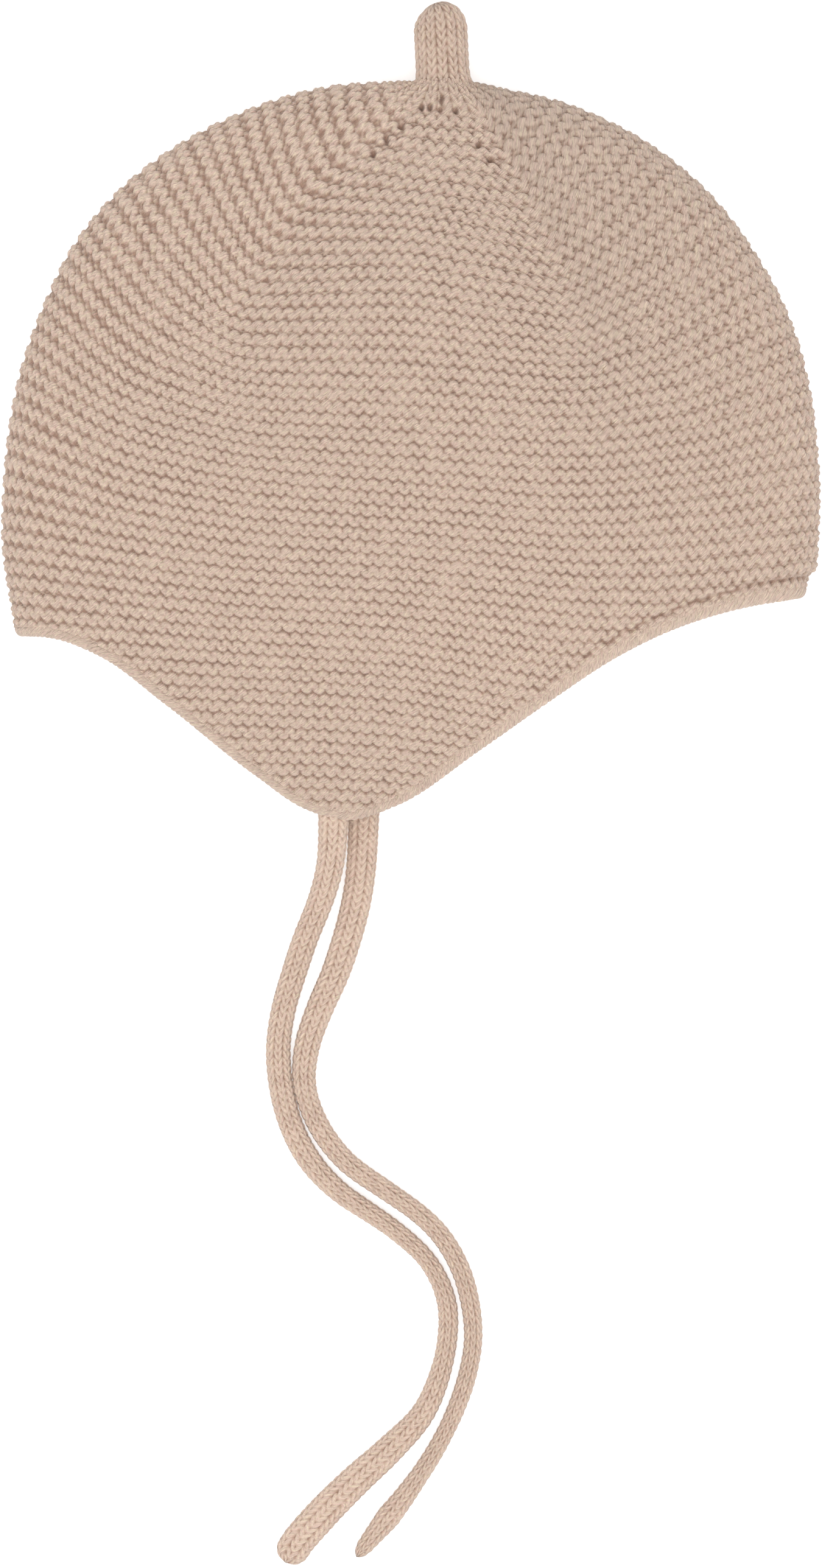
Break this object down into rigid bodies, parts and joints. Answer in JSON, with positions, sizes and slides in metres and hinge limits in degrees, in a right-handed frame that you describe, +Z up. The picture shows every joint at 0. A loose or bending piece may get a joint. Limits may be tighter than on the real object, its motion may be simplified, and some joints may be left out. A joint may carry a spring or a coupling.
{
  "type": "baby bonnet",
  "caption": "Knitted baby bonnet with ear flaps, a stalk at the crown, a rolled hem and long tie cords, laid flat on its side.",
  "frame": {"origin": "on the surface that the bonnet lies on, under the middle of the bonnet's box without its tie cords", "axes": "+X from the fold at the nape to the fold at the brow, +Y from the ear flaps to the nub, +Z up from the surface through both layers"},
  "size_m": [0.1801, 0.344, 0.0276],
  "materials": {
    "garter_wool": "matte beige wool in garter stitch",
    "edge_wool": "matte beige wool, rolled smooth edge",
    "cord_wool": "matte beige wool, smooth knitted cord"
  },
  "bodies": {
    "root": {"bonnet_body": "garter_wool", "hem_roll": "edge_wool", "crown_nub": "cord_wool", "tie_upper": "cord_wool", "tie_lower": "cord_wool"}
  },
  "joints": []
}
